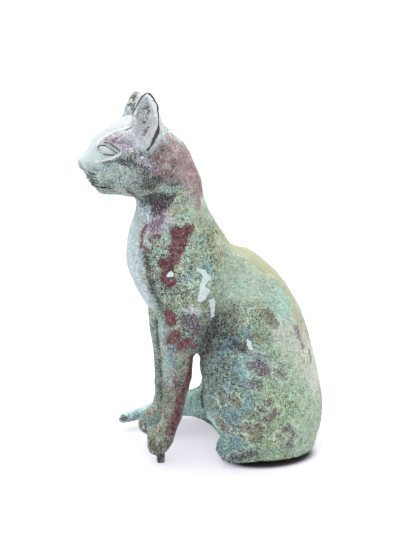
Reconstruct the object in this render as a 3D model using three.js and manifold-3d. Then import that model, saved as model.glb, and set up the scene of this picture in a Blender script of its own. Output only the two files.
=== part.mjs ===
// A seated bronze cat, cast in one piece, with tangs below its forepaws and rump.
// Millimetres, +Z up. The cat faces -Y and its own left side is +X.
// Its left hind foot is broken away, and its tail lies along its right side.
import * as THREE from "three";
import { SimplifyModifier } from "three/addons/modifiers/SimplifyModifier.js";
import { mergeVertices } from "three/addons/utils/BufferGeometryUtils.js";
import Module from "manifold-3d";

// Driving dimensions
const FIGURE_HEIGHT = 144.8; // from the flat underside to the ear tips
const TANG_LENGTH = 2.8; // the tangs hold the underside this far above the ground
const TANG_ROOT = 3.6; // how far a tang runs up into the metal from the underside's level
const PAW_TANG_WIDTH = 3.2;
const RUMP_TANG_WIDTH = 6;
const TANG_TAPER = 0.8; // a tang's lower end as a share of its upper one
const EAR_WALL = 1.5; // metal left behind the hollow of an ear
const SKIN_POINTS = 3300; // points kept when the fine skin is thinned

// The pose and the modelling are laid out on a figure of layout units, whose flat underside and
// ear tips give its height, so a layout unit is a share of FIGURE_HEIGHT. An ear stands on the
// head, leans in by its tilt and opens forwards and outwards. The right one is worn shorter.
const UNDERSIDE = -0.8;
const EAR = { width: 5.9, height: 11.6, depth: 4, rim: 1.4, bulge: 0.16 };
const EAR_CENTRE = [11.3, -24.6, 132.8];
const EAR_TILT = THREE.MathUtils.degToRad(15);
const EAR_OUT = [0.75, -0.66, 0];
const EAR_WORN = 0.8;
const EAR_TOP = EAR_CENTRE[2] + EAR.height * Math.cos(EAR_TILT);
const UNIT = FIGURE_HEIGHT / (EAR_TOP - UNDERSIDE);
const FINE = 1; // spacing of the grid that the skin is found on, in layout units
const BLOCK = 4; // grid cells along one edge of a block that is looked at as a whole
const SINK = 3; // the modelling runs on below the underside, down to this depth
const REACH = { x: [-36, 34], y: [-54, 54], z: [-6, 140] }; // of the grid, in layout units
const RELAX_PASSES = 4;

const wasm = await Module();
wasm.setup();

// Two forms melt together over a width of k, or one is pressed softly into the other.
const blend = (a, b, k) => Math.min(a, b) - Math.max(k - Math.abs(a - b), 0) ** 2 / (4 * k);
const press = (a, b, k) => -blend(-a, b, k);

// Distance to an ellipsoid turned by pitch about X, then by yaw about Z, in degrees.
function ellipsoid([cx, cy, cz], [rx, ry, rz], pitch = 0, yaw = 0) {
  const [aboutX, aboutZ] = [pitch, yaw].map((angle) => THREE.MathUtils.degToRad(angle));
  const turn = new THREE.Euler(aboutX, 0, aboutZ, "ZXY");
  const e = new THREE.Matrix4().makeRotationFromEuler(turn).invert().elements;
  return (x, y, z) => {
    const [dx, dy, dz] = [x - cx, y - cy, z - cz];
    const ax = (e[0] * dx + e[4] * dy + e[8] * dz) / rx;
    const ay = (e[1] * dx + e[5] * dy + e[9] * dz) / ry;
    const az = (e[2] * dx + e[6] * dy + e[10] * dz) / rz;
    const k0 = Math.sqrt(ax * ax + ay * ay + az * az);
    const k1 = Math.sqrt((ax / rx) ** 2 + (ay / ry) ** 2 + (az / rz) ** 2);
    return k1 > 0 ? (k0 * (k0 - 1)) / k1 : -Math.min(rx, ry, rz);
  };
}

// Distance to a limb through points [x, y, z, radius], widened sideways by the factor wide.
function limb(points, wide = 1) {
  const joints = points.map(([x, y, z, r]) => [x / wide, y, z, r]);
  return (px, y, z) => {
    const x = px / wide;
    let best = Infinity;
    for (let i = 0; i + 1 < joints.length; i++) {
      const [ax, ay, az, ar] = joints[i];
      const [bx, by, bz, br] = joints[i + 1];
      const [vx, vy, vz] = [bx - ax, by - ay, bz - az];
      const t = ((x - ax) * vx + (y - ay) * vy + (z - az) * vz) / (vx * vx + vy * vy + vz * vz);
      const s = Math.min(1, Math.max(0, t));
      const [ex, ey, ez] = [x - ax - s * vx, y - ay - s * vy, z - az - s * vz];
      best = Math.min(best, Math.sqrt(ex * ex + ey * ey + ez * ez) - ar - s * (br - ar));
    }
    return best;
  };
}

// Distance to a form given by its sections across one axis: rows of
// [station, low, high, half width], rounded between an ellipse (2) and a box (more).
function sections(axis, roundness, rows) {
  const stations = rows.map((row) => row[0]);
  const values = rows.flatMap((row) => row.slice(1));
  const curve = new THREE.CubicInterpolant(stations, values, 3, new Float64Array(3));
  const [first, last] = [stations[0], stations[stations.length - 1]];
  return (x, y, z) => {
    const [along, across] = axis === "z" ? [z, y] : [y, z];
    const station = Math.min(last, Math.max(first, along));
    const [low, high, half] = curve.evaluate(station);
    const reach = (high - low) / 2;
    const u = Math.abs(x) / half;
    const v = Math.abs(across - (low + high) / 2) / reach;
    const d = ((u ** roundness + v ** roundness) ** (1 / roundness) - 1) * Math.min(half, reach);
    if (along === station) return d;
    return Math.hypot(Math.max(d, 0), along - station) + Math.min(d, 0);
  };
}

// Haunches, belly and back as one pear-shaped form.
const haunches = sections("z", 2.6, [
  [-8, 2, 44.2, 25],
  [0, 0.8, 44.7, 25.8],
  [8, -1.8, 47, 26.8],
  [16, -3.3, 47.6, 27],
  [26, -4.7, 46.2, 26.4],
  [36, -5.6, 44.1, 24.8],
  [46, -5.4, 41.4, 22.2],
  [54, -3.4, 38.9, 19.6],
  [62, -1, 35, 17],
  [70, 2, 29.6, 14],
  [76, 4, 23.2, 11.4],
  [80, 5.5, 18.2, 9],
  [84, 7, 9, 4],
]);

// Chest, shoulders and neck, up into the head.
const chest = sections("z", 2.2, [
  [42, -14, -8, 9],
  [50, -14.4, -3, 13.4],
  [55.6, -16.2, 1.6, 16.4],
  [58.6, -22.4, 2.9, 17.4],
  [62, -24.6, 4.4, 18],
  [70, -28.7, 6.6, 18],
  [78, -31, 8.6, 16.6],
  [84, -30.8, 9.7, 14.6],
  [90, -30, 5.6, 12.9],
  [96, -27.6, 1.8, 11.7],
  [102, -26.6, -0.8, 11.3],
  [108, -25, -2.4, 11.6],
  [114, -24, -4.2, 12],
  [120, -22, -8, 10],
]);

// Skull and muzzle, from the nose back to the nape.
const skull = sections("y", 2.25, [
  [-48.8, 116.8, 118.2, 1.6],
  [-47.5, 114.8, 119.8, 4],
  [-45, 111.8, 122.4, 6],
  [-43, 109.2, 125, 7.2],
  [-41, 106.8, 127.3, 8.4],
  [-38, 105.4, 129.8, 10],
  [-34, 104.9, 132.1, 11.9],
  [-30, 104.2, 133.8, 13.3],
  [-26, 103.6, 134.7, 14.2],
  [-22, 104, 134.2, 14.4],
  [-18, 104.6, 131.8, 14],
  [-14, 105.5, 128.4, 13],
  [-10, 107, 123.8, 11.4],
  [-7.4, 108, 119, 9.4],
  [-5.4, 108.6, 114.6, 7],
  [-4.2, 109.6, 112, 4],
]);

// What both sides share is written for the left side only.
const cheek = ellipsoid([9.2, -25, 114], [5.4, 9, 7], 10);
const whiskerPad = ellipsoid([3.4, -41.9, 111.6], [3.5, 3.7, 3.2]);
const nose = ellipsoid([0, -46.6, 117.2], [2.5, 2.1, 1.7]);
const chin = ellipsoid([0, -39.4, 108], [3.8, 3, 2.2]);
const brow = limb([[4.2, -41.8, 124, 0.6], [7.4, -37.2, 126.5, 0.8], [10.2, -31.4, 128.7, 1]]);
const templeHollow = ellipsoid([14.8, -32.6, 124.2], [2.7, 5.4, 3.6], -20);
const upperArm = limb([[10.4, -5, 68, 9], [11, -8, 57, 8.2], [9.4, -11.6, 48, 6.8]]);
const foreleg = limb(
  [
    [9.3, -13.4, 57, 7.8],
    [8.9, -13.4, 50, 7.3],
    [8.3, -13.5, 39, 6],
    [7.7, -14.3, 25, 4.7],
    [7.5, -15.6, 15, 3.9],
    [7.8, -18.8, 8, 3.4],
  ],
  1.12,
);
const paw = limb([[8.2, -20.2, 6.4, 3.8], [8.5, -21.2, 5.2, 4.7], [8.7, -21.8, 3.8, 4.3]], 1.06);
const RIGHT_PAW_LIFT = 1.3; // the right forepaw stands a little higher than the left one
const flank = ellipsoid([25, 4, 54], [7, 7, 13], 10);
const elbowHollow = ellipsoid([21, -1.6, 48], [6, 3.6, 9], 20);
const bellyGroove = limb([[0, -9, -8, 9.6], [0, -9, 14, 9.6], [0.5, -9, 30, 9.4], [1, -10, 41, 5]]);
const elbowGap = limb([[18, -8.1, 42.8, 0.8], [-24, 2.9, 26, 1.4]]); // slants down to the right
const bellyHollow = ellipsoid([-3, -5, 2], [30, 12.5, 13]);
const rightHollow = ellipsoid([-16, -10, 25], [23, 15, 23]); // the right haunch is set back
const legGroove = limb(
  [[0, -12, 2, 2], [0, -12.6, 39, 1.9], [0, -15.6, 48, 1.5], [0, -17.4, 54, 1.2]],
);

// The right hind foot, with its arched sole, and the stump where the left one broke off.
const hindFoot = limb(
  [[-18.6, 5, 7.4, 7.4], [-19, -2, 8.2, 5.4], [-19.2, -8, 6.4, 4.4], [-19.2, -12, 4, 4]],
  1.1,
);
const hindArch = ellipsoid([-19.2, -5.6, 0], [9, 3.6, 4]);
const stump = ellipsoid([15, 9, 1], [9.5, 9.5, 8]);
const BREAK_PLANE = 1.8;

// A flat facet runs down the front of the left haunch, out to a ridge: [direction], reach.
const FACET = [[0.6, -0.71, -0.364], 6.2];

// The tail comes round from the spine's foot and lies along the right side.
const tailRoute = new THREE.CatmullRomCurve3(
  [
    [2, 44.4, 8],
    [-10, 44.6, 4.4],
    [-21, 37, 3.8],
    [-27.2, 25, 3.6],
    [-29, 11, 3.6],
    [-29, -3, 3.4],
    [-27.6, -15, 3],
    [-25.6, -25, 2.2],
    [-24.4, -29.6, 1.8],
  ].map((p) => new THREE.Vector3(...p)),
  false,
  "centripetal",
);
const TAIL_STEPS = 18;
const tailRadius = (t) => 4.6 - 1.2 * t - 1.5 * t ** 6;
const tail = limb(
  tailRoute.getSpacedPoints(TAIL_STEPS).map((p, i) => [p.x, p.y, p.z, tailRadius(i / TAIL_STEPS)]),
);

// The whole figure but for its ears: negative inside, in layout units.
function figure(x, y, z) {
  const side = Math.abs(x);
  const [[fx, fy, fz], reach] = FACET;
  let d = press(haunches(x, y, z), reach - fx * x - fy * y - fz * z, 0.8);
  d = press(d, bellyGroove(x, y, z), 4);
  d = press(d, bellyHollow(x, y, z), 2);
  d = press(d, rightHollow(x, y, z), 3);
  d = press(d, flank(side, y, z), 7);
  d = blend(d, chest(x, y, z), 2.5);
  d = blend(d, upperArm(side, y, z), 4);
  d = press(d, elbowHollow(side, y, z), 6);
  d = blend(d, foreleg(side, y, z), 3.5);
  d = blend(d, paw(side, y, z - (x < 0 ? RIGHT_PAW_LIFT : 0)), 4);
  d = press(d, legGroove(side, y, z), 1.5);
  d = press(d, elbowGap(x, y, z), 2);

  let face = blend(skull(x, y, z), cheek(side, y, z), 4);
  face = blend(face, whiskerPad(side, y, z), 1.6);
  face = blend(face, nose(x, y, z), 1.2);
  face = blend(face, chin(x, y, z), 2);
  face = blend(face, brow(side, y, z), 3);
  face = press(face, templeHollow(side, y, z), 3);
  d = blend(d, face, 3.5);

  d = blend(d, press(hindFoot(x, y, z), hindArch(x, y, z), 1.5), 3);
  d = blend(d, press(stump(x, y, z), y - BREAK_PLANE, 1), 3);
  d = blend(d, tail(x, y, z), 2.4);
  return Math.max(d, -SINK - z);
}

const gridLines = ([from, to]) => {
  const cells = BLOCK * Math.ceil((to - from) / FINE / BLOCK);
  return Array.from({ length: cells + 1 }, (_, i) => from + i * FINE);
};

// The field's value at each grid point. A block that lies far from the surface is filled
// with the value at its middle.
function sample(field, xs, ys, zs) {
  const [nx, ny, nz] = [xs.length, ys.length, zs.length];
  const value = new Float64Array(nx * ny * nz);
  const far = BLOCK * FINE * 2;
  for (let k0 = 0; k0 < nz; k0 += BLOCK)
    for (let j0 = 0; j0 < ny; j0 += BLOCK)
      for (let i0 = 0; i0 < nx; i0 += BLOCK) {
        const half = (BLOCK * FINE) / 2;
        const middle = field(xs[i0] + half, ys[j0] + half, zs[k0] + half);
        for (let k = k0; k < Math.min(nz, k0 + BLOCK); k++)
          for (let j = j0; j < Math.min(ny, j0 + BLOCK); j++)
            for (let i = i0; i < Math.min(nx, i0 + BLOCK); i++)
              value[(k * ny + j) * nx + i] =
                Math.abs(middle) > far ? middle : field(xs[i], ys[j], zs[k]);
      }
  return value;
}

// Surface nets: one point in each grid cell that the surface crosses, at the middle of the
// crossings of its edges, and a pair of triangles across each grid edge that it crosses.
function skin(field, xs, ys, zs) {
  const [nx, ny, nz] = [xs.length, ys.length, zs.length];
  const value = sample(field, xs, ys, zs);
  const at = (i, j, k) => (k * ny + j) * nx + i;
  const lines = [xs, ys, zs];
  const known = new Map();
  const points = [];
  const pointIn = (cell) => {
    const key = at(...cell);
    if (known.has(key)) return known.get(key);
    const sum = [0, 0, 0];
    let crossings = 0;
    for (let axis = 0; axis < 3; axis++)
      for (let edge = 0; edge < 4; edge++) {
        const start = [...cell];
        start[(axis + 1) % 3] += edge & 1;
        start[(axis + 2) % 3] += edge >> 1;
        const end = [...start];
        end[axis] += 1;
        const [a, b] = [value[at(...start)], value[at(...end)]];
        if (a < 0 === b < 0) continue;
        for (let c = 0; c < 3; c++)
          sum[c] += lines[c][start[c]] + (a / (a - b)) * (lines[c][end[c]] - lines[c][start[c]]);
        crossings += 1;
      }
    known.set(key, points.length);
    points.push(new THREE.Vector3(...sum).divideScalar(crossings));
    return known.get(key);
  };
  const faces = [];
  for (let k = 1; k + 1 < nz; k++)
    for (let j = 1; j + 1 < ny; j++)
      for (let i = 1; i + 1 < nx; i++)
        for (let axis = 0; axis < 3; axis++) {
          const [u, v] = [(axis + 1) % 3, (axis + 2) % 3];
          const next = [i, j, k];
          next[axis] += 1;
          const inside = value[at(i, j, k)] < 0;
          if (inside === value[at(...next)] < 0) continue;
          const ring = [[0, 0], [-1, 0], [-1, -1], [0, -1]].map(([du, dv]) => {
            const cell = [i, j, k];
            cell[u] += du;
            cell[v] += dv;
            return pointIn(cell);
          });
          if (!inside) ring.reverse();
          const [a, b, c, d] = ring;
          const straight = points[a].distanceTo(points[c]) <= points[b].distanceTo(points[d]);
          faces.push(...(straight ? [a, b, c, a, c, d] : [b, c, d, b, d, a]));
        }
  return { points, faces };
}

// Each point moves towards the middle of its neighbours, then back onto the skin along the
// field's slope. That takes out the folds that the thinning leaves.
function relaxed(points, faces) {
  const neighbours = points.map(() => new Set());
  for (let f = 0; f < faces.length; f++) {
    const next = f % 3 === 2 ? f - 2 : f + 1;
    neighbours[faces[f]].add(faces[next]);
    neighbours[faces[next]].add(faces[f]);
  }
  const slope = (p, axis) => {
    const ahead = p.clone().setComponent(axis, p.getComponent(axis) + 0.1);
    const behind = p.clone().setComponent(axis, p.getComponent(axis) - 0.1);
    return (figure(...ahead.toArray()) - figure(...behind.toArray())) / 0.2;
  };
  for (let pass = 0; pass < RELAX_PASSES; pass++)
    points = points.map((p, i) => {
      const mean = new THREE.Vector3();
      for (const n of neighbours[i]) mean.add(points[n]);
      const moved = p.clone().lerp(mean.divideScalar(neighbours[i].size), 0.5);
      const rise = new THREE.Vector3(slope(moved, 0), slope(moved, 1), slope(moved, 2));
      return moved.addScaledVector(rise, -figure(...moved.toArray()) / rise.lengthSq());
    });
  return points;
}

function closedSolid(geometry) {
  const merged = mergeVertices(geometry.deleteAttribute("normal").deleteAttribute("uv"));
  const vertProperties = new Float32Array(merged.getAttribute("position").array);
  const triVerts = new Uint32Array(merged.getIndex().array);
  return new wasm.Manifold(new wasm.Mesh({ numProp: 3, vertProperties, triVerts }));
}

// From layout units to millimetres above the ground.
const placed = (x, y, z) =>
  new THREE.Vector3(x * UNIT, y * UNIT, (z - UNDERSIDE) * UNIT + TANG_LENGTH);

async function castBody() {
  const { points, faces } = skin(figure, ...[REACH.x, REACH.y, REACH.z].map(gridLines));
  const fine = new THREE.BufferGeometry().setFromPoints(points);
  fine.setIndex(new THREE.BufferAttribute(new Uint32Array(faces), 1));
  const thin = await new SimplifyModifier().modify(fine, points.length - SKIN_POINTS);
  const kept = thin.getAttribute("position");
  const even = relaxed(
    Array.from({ length: kept.count }, (_, i) => new THREE.Vector3().fromBufferAttribute(kept, i)),
    thin.getIndex().array,
  );
  thin.setFromPoints(even.map((p) => placed(p.x, p.y, p.z)));
  return closedSolid(thin);
}

// A leaf is a sphere drawn out to a point at its upper end, and cut flat in front at rim.
// It bulges forwards a little way up, on the side that front names.
function leaf({ width, height, depth, rim = Infinity, bulge = 0 }, front, steps) {
  const geometry = new THREE.SphereGeometry(1, steps, Math.round(steps * 0.6));
  const p = geometry.getAttribute("position");
  for (let i = 0; i < p.count; i++) {
    const [u, v, w] = [p.getX(i), p.getY(i), p.getZ(i)];
    const narrow = 1 - 0.28 * Math.max(0, v) ** 3 - 0.35 * Math.max(0, -v) ** 2;
    const flare = u * front > 0 ? 1 + bulge * Math.exp(-(((v + 0.4) / 0.3) ** 2)) : 1;
    p.setXYZ(i, u * width * narrow * flare, v * height, Math.min(rim, w * depth));
  }
  return geometry;
}

// Sets a leaf on the head: its long axis along up, its face towards out.
function seated(geometry, [cx, cy, cz], up, out, side) {
  const [long, face] = [up, out].map(([x, y, z]) => new THREE.Vector3(x * side, y, z).normalize());
  const wide = new THREE.Vector3().crossVectors(long, face).normalize();
  const frame = new THREE.Matrix4().makeBasis(wide, long, new THREE.Vector3().crossVectors(wide, long));
  geometry.applyMatrix4(frame.setPosition(cx * side, cy, cz));
  const p = geometry.getAttribute("position");
  for (let i = 0; i < p.count; i++) p.setXYZ(i, ...placed(p.getX(i), p.getY(i), p.getZ(i)).toArray());
  return closedSolid(geometry);
}

function withEar(solid, side) {
  const wall = EAR_WALL / UNIT;
  const worn = side < 0 ? EAR_WORN : 0;
  const height = EAR.height - worn;
  const [x, y, z] = EAR_CENTRE;
  const centre = [x, y, z - worn];
  const up = [-Math.sin(EAR_TILT), 0, Math.cos(EAR_TILT)];
  const hollow = { ...EAR, width: EAR.width - wall, height: height - wall, rim: Infinity };
  hollow.depth = EAR.depth * 1.6;
  const shell = leaf({ ...EAR, height }, -side, 18);
  const inside = leaf(hollow, -side, 18).translate(0, 0, hollow.depth - EAR.depth + wall);
  const ear = seated(shell, centre, up, EAR_OUT, side);
  return solid.add(ear).subtract(seated(inside, centre, up, EAR_OUT, side));
}

// An eye is an almond in a shallow almond socket, its outer corner lower and further back.
const EYE = { width: 1.9, height: 3.7, depth: 1.7 };
const EYE_SOCKET = { width: 2.6, height: 4.8, depth: 1.2 };
const EYE_CENTRE = [8.3, -38.9, 123.3];
const EYE_LONG = [0.48, 0.86, -0.26];
const EYE_OUT = [0.85, -0.42, 0.31];

function withEye(solid, side) {
  const socket = leaf(EYE_SOCKET, side, 14).translate(0.1, 0.2, 0.8);
  const eye = leaf(EYE, side, 12).translate(0, 0, -1);
  return solid
    .subtract(seated(socket, EYE_CENTRE, EYE_LONG, EYE_OUT, side))
    .add(seated(eye, EYE_CENTRE, EYE_LONG, EYE_OUT, side));
}

// The place on the skin that is met on the way back from the front, at x and the height z.
function onSkin(x, z, front, back) {
  let [outside, inside] = [front, back];
  while (inside - outside > 0.01) {
    const y = (outside + inside) / 2;
    if (figure(x, y, z) > 0) outside = y;
    else inside = y;
  }
  return placed(x, outside, z);
}

// A groove of diamond section, cut along points on the skin.
function grooved(solid, points, height, depth) {
  const [h, d] = [(height * UNIT) / 2, (depth * UNIT) / 2];
  const diamond = new THREE.Shape([[d, 0], [0, h], [-d, 0], [0, -h]].map((p) => new THREE.Vector2(...p)));
  const settings = { steps: points.length - 1, extrudePath: new THREE.CatmullRomCurve3(points) };
  return solid.subtract(closedSolid(new THREE.ExtrudeGeometry(diamond, settings)));
}

const spread = (count, from, to) =>
  Array.from({ length: count }, (_, i) => from + ((to - from) * i) / (count - 1));

// The mouth falls from the middle to its corners.
const MOUTH = { reach: 7.4, middle: 110.9, fall: 2.1, height: 1.1, depth: 1.8, points: 15 };

function withMouth(solid) {
  const points = spread(MOUTH.points, -1, 1).map((share) => {
    const z = MOUTH.middle - MOUTH.fall * Math.abs(share) ** 1.5;
    return onSkin(share * MOUTH.reach, z, -60, -34);
  });
  return grooved(solid, points, MOUTH.height, MOUTH.depth);
}

// Three grooves part the four toes of each foot that is left.
const TOES = { pitch: 2.5, bottom: -0.5, top: 7.6, height: 1, depth: 1.4, points: 5 };

function withToes(solid, x, front, back) {
  for (const place of [-1, 0, 1]) {
    const heights = spread(TOES.points, TOES.bottom, TOES.top);
    const points = heights.map((z) => onSkin(x + place * TOES.pitch, z, front, back));
    solid = grooved(solid, points, TOES.height, TOES.depth);
  }
  return solid;
}

// A tang is a square peg, a little narrower at its lower end, sunk into what it carries.
function tang([x, y], width) {
  const height = TANG_LENGTH + TANG_ROOT;
  const geometry = new THREE.BoxGeometry(width, width, height).translate(0, 0, height / 2);
  const p = geometry.getAttribute("position");
  for (let i = 0; i < p.count; i++) {
    const size = p.getZ(i) > 0 ? 1 : TANG_TAPER;
    p.setXYZ(i, x + p.getX(i) * size, y + p.getY(i) * size, p.getZ(i));
  }
  return closedSolid(geometry);
}

function flatBelow(solid) {
  const reach = FIGURE_HEIGHT;
  const block = new THREE.BoxGeometry(reach, reach, reach);
  block.translate(0, 0, TANG_LENGTH - reach / 2);
  return solid.subtract(closedSolid(block));
}

const PAW_TANG = [8.8 * UNIT, -20.8 * UNIT];
const RUMP_TANG = [8 * UNIT, 34 * UNIT];

let solid = withToes(withMouth(flatBelow(await castBody())), -19.2, -24, -9);
for (const side of [-1, 1]) {
  solid = withToes(withEye(withEar(solid, side), side), 8.5 * side, -32, -19);
  solid = solid.add(tang([PAW_TANG[0] * side, PAW_TANG[1]], PAW_TANG_WIDTH));
  solid = solid.add(tang([RUMP_TANG[0] * side, RUMP_TANG[1]], RUMP_TANG_WIDTH));
}

const mesh = solid.getMesh();
const geometry = new THREE.BufferGeometry();
geometry.setAttribute("position", new THREE.BufferAttribute(mesh.vertProperties, 3));
geometry.setIndex(new THREE.BufferAttribute(mesh.triVerts, 1));
geometry.computeBoundingBox();
const middle = geometry.boundingBox.getCenter(new THREE.Vector3());
geometry.translate(-middle.x, -middle.y, 0);
geometry.computeVertexNormals();

const bronze = new THREE.MeshStandardMaterial({ color: 0x8fa88f, roughness: 0.8, metalness: 0.2 });
const cat = new THREE.Mesh(geometry, bronze);
cat.name = "cat";

const group = new THREE.Group();
group.add(cat);
export default group;
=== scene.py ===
# %% [markdown]
# # A seated bronze cat, from the plain solid to the corroded casting
# The real object is a small bronze cat, cast by the lost-wax way and green from long burial. The CAD
# solid already has its form and size. This lesson takes a copy of that solid, gives it a finer skin,
# carves what the solid leaves out, and lays the patina over it. Everything is in metres, +Z is up,
# the cat looks along -Y, and its own left side is +X.

# %% Load the solid and note its box
import math

import bpy
import numpy as np
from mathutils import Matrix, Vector, noise
from mathutils.bvhtree import BVHTree


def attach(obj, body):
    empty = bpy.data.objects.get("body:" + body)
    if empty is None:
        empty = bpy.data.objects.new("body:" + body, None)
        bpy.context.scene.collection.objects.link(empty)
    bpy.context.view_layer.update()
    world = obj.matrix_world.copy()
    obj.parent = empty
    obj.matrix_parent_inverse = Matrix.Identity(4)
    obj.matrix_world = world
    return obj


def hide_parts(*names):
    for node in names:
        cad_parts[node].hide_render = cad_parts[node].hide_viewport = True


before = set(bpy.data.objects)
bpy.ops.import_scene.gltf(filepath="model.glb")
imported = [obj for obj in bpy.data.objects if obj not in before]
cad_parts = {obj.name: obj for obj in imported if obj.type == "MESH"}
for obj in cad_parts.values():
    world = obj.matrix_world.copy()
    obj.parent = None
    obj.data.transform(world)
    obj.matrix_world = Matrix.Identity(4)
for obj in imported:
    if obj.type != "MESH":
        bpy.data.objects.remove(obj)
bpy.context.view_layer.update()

MM = 0.001

# %% [markdown]
# ## The camera
# The camera stands where the photographer stood: a little before the cat's left side and a little
# above its head. It comes first, because the colours below are placed by points of its picture. The
# long side of the frame is upright, so the focal length is worked out from the picture's height.

# %% Stand the camera
FRAME_WIDTH, FRAME_HEIGHT = 410, 547
FOCAL_LENGTH_IN_PIXELS = 1077
SENSOR_MM = 36
CAMERA_TARGET = Vector((2.95, -0.3, 74.6)) * MM
CAMERA_DISTANCE = 425 * MM
CAMERA_AZIMUTH = math.radians(75)
CAMERA_ELEVATION = math.radians(16.5)

towards_camera = Vector((
    math.sin(CAMERA_AZIMUTH) * math.cos(CAMERA_ELEVATION),
    -math.cos(CAMERA_AZIMUTH) * math.cos(CAMERA_ELEVATION),
    math.sin(CAMERA_ELEVATION),
))
camera_place = CAMERA_TARGET + towards_camera * CAMERA_DISTANCE
turn = (-towards_camera).to_track_quat("-Z", "Y")
bpy.ops.object.camera_add(location=camera_place, rotation=turn.to_euler())
camera = bpy.context.object
camera.data.sensor_width = SENSOR_MM
camera.data.lens = FOCAL_LENGTH_IN_PIXELS / FRAME_HEIGHT * SENSOR_MM
bpy.context.scene.camera = camera
print("camera lens:", round(camera.data.lens, 1), "mm")

# %% [markdown]
# ## A finer skin
# The solid has large facets, as a rough wax model has. A copy is merged, each triangle is cut into
# nine, and a smoothing modifier takes the facets away without making the figure thinner. The head
# and the paws carry the finest carving, so their triangles are cut once more.

# %% Copy the solid and cut its triangles smaller
MERGE_DISTANCE = 0.001 * MM
BODY_CUTS = 2
BODY_ROUNDING = 0.6


def only(piece):
    """Deselects everything, then selects and activates one piece."""
    bpy.ops.object.select_all(action="DESELECT")
    piece.select_set(True)
    bpy.context.view_layer.objects.active = piece


cat = bpy.data.objects.new("bronze_cat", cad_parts["cat"].data.copy())
bpy.context.collection.objects.link(cat)
cat.data.materials.clear()
only(cat)
bpy.ops.object.mode_set(mode="EDIT")
bpy.ops.mesh.select_all(action="SELECT")
bpy.ops.mesh.remove_doubles(threshold=MERGE_DISTANCE)
bpy.ops.mesh.subdivide(number_cuts=BODY_CUTS, smoothness=BODY_ROUNDING)
bpy.ops.object.mode_set(mode="OBJECT")
print("skin:", len(cat.data.polygons), "faces")


# %% Helpers that read and move the skin
def read(piece, what="co"):
    """The piece's points, or their normals, as rows of x, y and z."""
    if what == "co":
        rows = np.empty(len(piece.data.vertices) * 3)
        piece.data.vertices.foreach_get("co", rows)
    else:
        rows = np.empty(len(piece.data.vertices) * 3, np.float32)
        piece.data.vertex_normals.foreach_get("vector", rows)
    return rows.reshape(-1, 3).astype(float)


def move(piece, points):
    """Puts the piece's points at new places."""
    piece.data.vertices.foreach_set("co", points.ravel())
    piece.data.update()


def cut_finer(piece, inside):
    """Cuts each edge in two where inside says so of a face's middle."""
    only(piece)
    bpy.ops.object.mode_set(mode="EDIT")
    bpy.ops.mesh.select_mode(type="FACE")
    bpy.ops.mesh.select_all(action="DESELECT")
    bpy.ops.object.mode_set(mode="OBJECT")
    middles = np.empty(len(piece.data.polygons) * 3, np.float32)
    piece.data.polygons.foreach_get("center", middles)
    chosen = inside(middles.reshape(-1, 3) / MM)
    piece.data.polygons.foreach_set("select", chosen)
    bpy.ops.object.mode_set(mode="EDIT")
    bpy.ops.mesh.subdivide(number_cuts=1, smoothness=0.0)
    bpy.ops.mesh.select_all(action="SELECT")
    bpy.ops.mesh.quads_convert_to_tris()
    bpy.ops.object.mode_set(mode="OBJECT")
    return int(chosen.sum())


# %% Smooth the facets away, then cut the head and the paws finer
FACE_FLOOR, FACE_BACK = 111, -30
EAR_FLOOR, EAR_BACK = 127, -20
PAW_TOP, PAW_BACK = 12, -14

UNDERSIDE = 2.8
FLAT_TOLERANCE = 0.1
ALL_SMOOTH_ABOVE = 4.5
SMOOTHING_ROUNDS = 4
SMOOTHING_STRENGTH = 0.6


def rise(values, low, high):
    """0 below low, 1 above high, and smooth between."""
    share = np.clip((values - low) / (high - low), 0, 1)
    return share * share * (3 - 2 * share)


faceted = read(cat)
smoothing = cat.modifiers.new("smoothing", "LAPLACIANSMOOTH")
smoothing.iterations = SMOOTHING_ROUNDS
smoothing.lambda_factor = SMOOTHING_STRENGTH
smoothing.lambda_border = 0
smoothing.use_volume_preserve = True
bpy.ops.object.modifier_apply(modifier=smoothing.name)

faceted[:, 2] = np.maximum(faceted[:, 2], 0)
flat = np.abs(faceted[:, 2] / MM - UNDERSIDE) < FLAT_TOLERANCE
faceted[flat, 2] = UNDERSIDE * MM
share = rise(faceted[:, 2:] / MM, UNDERSIDE, ALL_SMOOTH_ABOVE)
move(cat, faceted + (read(cat) - faceted) * share)


def on_head_or_paw(middles):
    """Where a chisel's width matters: the head, and the feet."""
    x, y, z = middles.T
    face = (z > FACE_FLOOR) & (y < FACE_BACK)
    ears = (z > EAR_FLOOR) & (y < EAR_BACK)
    paws = (z < PAW_TOP) & (y < PAW_BACK)
    return face | ears | paws


print("cut finer:", cut_finer(cat, on_head_or_paw), "faces")
print("skin:", len(cat.data.polygons), "faces")

# %% [markdown]
# ## Where each colour goes
# Painted by hand, each colour would be dabbed on with a brush. The same is done here. A dab is a short
# line of places in the camera's picture and a width in mm. Each place is thrown onto the skin along
# its line of sight, so the dab sits on the bronze itself and stays there seen from any side. A skin
# point's depth in a dab is its radius less the distance: above 0 the point is inside.

# %% Throw places onto the skin
points = read(cat)
normals = read(cat, "normal")
skin = BVHTree.FromPolygons(
    [Vector(p) for p in points], [tuple(f.vertices) for f in cat.data.polygons]
)
picture_right = turn @ Vector((1, 0, 0))
picture_up = turn @ Vector((0, 1, 0))
MIDDLE_PLANE = 2.953
FAR = 200
DAB_STEP = 4
LINE_STEP = 2


def from_picture(across, down):
    """The skin point, in mm, that shows at this place of the picture."""
    sight = (
        -towards_camera
        + picture_right * ((across - FRAME_WIDTH / 2) / FOCAL_LENGTH_IN_PIXELS)
        - picture_up * ((down - FRAME_HEIGHT / 2) / FOCAL_LENGTH_IN_PIXELS)
    )
    hit = skin.ray_cast(camera_place, sight.normalized())[0]
    return None if hit is None else np.array(hit) / MM


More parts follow.
